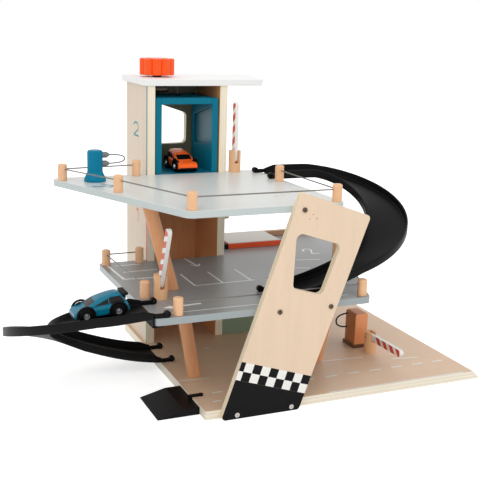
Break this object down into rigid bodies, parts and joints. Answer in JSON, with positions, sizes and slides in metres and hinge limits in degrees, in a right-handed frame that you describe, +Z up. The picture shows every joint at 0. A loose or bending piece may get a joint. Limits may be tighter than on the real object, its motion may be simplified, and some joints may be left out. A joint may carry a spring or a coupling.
{
  "type": "toy parking garage",
  "caption": "Wooden toy parking garage with stacked decks, a wound lift in a tower, curved channel ramps, barriers and toy cars.",
  "frame": {"origin": "middle of the base board's underside, on the floor", "axes": "+X to the right as one faces the toy, +Y to the back, +Z up"},
  "size_m": [0.6455, 0.3913, 0.4318],
  "materials": {
    "birch": "satin, clear lacquer",
    "dowel": "satin, clear lacquer",
    "beech": "satin, clear lacquer",
    "walnut": "satin, stained",
    "white_paint": "satin paint",
    "light_grey_paint": "satin paint",
    "grey_paint": "satin paint",
    "sand_paint": "satin paint",
    "orange_paint": "satin paint",
    "green_paint": "satin paint",
    "teal_paint": "satin paint",
    "orange_plastic": "gloss",
    "orange_car_paint": "gloss",
    "blue_car_paint": "gloss",
    "black_plastic": "satin",
    "dark_rubber": "matte",
    "tyre": "matte",
    "steel": "satin",
    "screw_steel": "bright",
    "string": "matte cord",
    "pane": "satin"
  },
  "bodies": {
    "garage": {"base_board": "sand_paint", "tower_left_wall": "birch", "tower_right_wall": "birch", "tower_back_wall": "white_paint", "roof_board": "white_paint", "string_eyelet": "steel", "string_lead": "string", "lift_string": "string", "deck_top": "light_grey_paint", "deck_mid": "grey_paint", "platform_board": "orange_paint", "platform_mat": "light_grey_paint", "platform_buffer": "black_plastic", "rear_curb": "birch", "support_panel": "green_paint", "deck_bracket": "birch", "pillar_upper_left": "dowel", "pillar_lower_left": "dowel", "pillar_lower_right": "dowel", "front_panel": "birch", "front_screws": "screw_steel", "rail_posts_top": "beech", "rail_posts_mid": "beech", "rail_wire_top": "steel", "rail_wire_mid_left": "steel", "rail_wire_mid_right": "steel", "barrier_top_post": "beech", "barrier_top_pin": "steel", "barrier_mid_post": "beech", "barrier_mid_pin": "steel", "barrier_ground_post": "beech", "barrier_ground_pin": "steel", "charger_body": "teal_paint", "charger_plugs": "black_plastic", "charger_cable": "dark_rubber", "pump_foot": "walnut", "pump_body": "walnut", "pump_hose": "dark_rubber"},
    "lift": {"lift_left_wall": "teal_paint", "lift_right_wall": "teal_paint", "lift_floor": "teal_paint", "lift_roof": "teal_paint", "lift_panes": "pane", "lift_hitch": "black_plastic"},
    "winder": {"winding_knob": "orange_plastic", "winding_spindle": "dark_rubber"},
    "top_arm": {"barrier_top_arm": "white_paint"},
    "mid_arm": {"barrier_mid_arm": "white_paint"},
    "ground_arm": {"barrier_ground_arm": "white_paint"},
    "right_ramp": {"ramp_right": "black_plastic"},
    "left_ramp": {"ramp_left": "black_plastic"},
    "wedge": {"wedge_ramp": "black_plastic"},
    "orange_car": {"car_orange_body": "orange_car_paint"},
    "orange_front_axle": {"car_orange_front_wheels": "tyre"},
    "orange_rear_axle": {"car_orange_rear_wheels": "tyre"},
    "blue_car": {"car_blue_body": "blue_car_paint"},
    "blue_front_axle": {"car_blue_front_wheels": "tyre"},
    "blue_rear_axle": {"car_blue_rear_wheels": "tyre"}
  },
  "joints": [
    {"name": "lift_slide", "type": "slide", "parent": "garage", "child": "lift", "axis": [0, 0, -1], "range_m": [0, 0.2475], "deforming": ["lift_string"]},
    {"name": "winder_turn", "type": "hinge", "parent": "garage", "child": "winder", "pos_m": [-0.17, 0.1435, 0.405], "axis": [0, 0, 1], "range_deg": [-886, 0]},
    {"name": "top_barrier", "type": "hinge", "parent": "garage", "child": "top_arm", "pos_m": [-0.0695, 0.0765, 0.2885], "axis": [1, 0, 0], "range_deg": [0, 90]},
    {"name": "mid_barrier", "type": "hinge", "parent": "garage", "child": "mid_arm", "pos_m": [-0.244, -0.1035, 0.16], "axis": [1, 0, 0], "range_deg": [-22, 59]},
    {"name": "ground_barrier", "type": "hinge", "parent": "garage", "child": "ground_arm", "pos_m": [0.099, -0.0635, 0.0363], "axis": [1, 0, 0], "range_deg": [-89, 0]},
    {"name": "right_ramp_off", "type": "slide", "parent": "garage", "child": "right_ramp", "axis": [0.8944, 0.4472, 0], "range_m": [0, 0.04]},
    {"name": "left_ramp_off", "type": "slide", "parent": "garage", "child": "left_ramp", "axis": [-1, 0, 0], "range_m": [0, 0.06]},
    {"name": "wedge_off", "type": "slide", "parent": "garage", "child": "wedge", "axis": [-1, 0, 0], "range_m": [0, 0.04]},
    {"name": "orange_car_drive", "type": "slide", "parent": "lift", "child": "orange_car", "axis": [0, -1, 0], "range_m": [0, 0.09]},
    {"name": "orange_front_spin", "type": "hinge", "parent": "orange_car", "child": "orange_front_axle", "pos_m": [-0.142, 0.093, 0.27785], "axis": [1, 0, 0], "continuous": true},
    {"name": "orange_rear_spin", "type": "hinge", "parent": "orange_car", "child": "orange_rear_axle", "pos_m": [-0.142, 0.132, 0.27785], "axis": [1, 0, 0], "continuous": true},
    {"name": "blue_car_lift_off", "type": "slide", "parent": "left_ramp", "child": "blue_car", "axis": [0, 0, 1], "range_m": [0, 0.06]},
    {"name": "blue_front_spin", "type": "hinge", "parent": "blue_car", "child": "blue_front_axle", "pos_m": [-0.3532, -0.142, 0.14501], "axis": [0, 1, 0], "continuous": true},
    {"name": "blue_rear_spin", "type": "hinge", "parent": "blue_car", "child": "blue_rear_axle", "pos_m": [-0.31431, -0.142, 0.14794], "axis": [0, 1, 0], "continuous": true}
  ],
  "couplings": [
    {"joint": "winder_turn", "follows": "lift_slide", "rad_per_m": -62.112}
  ]
}
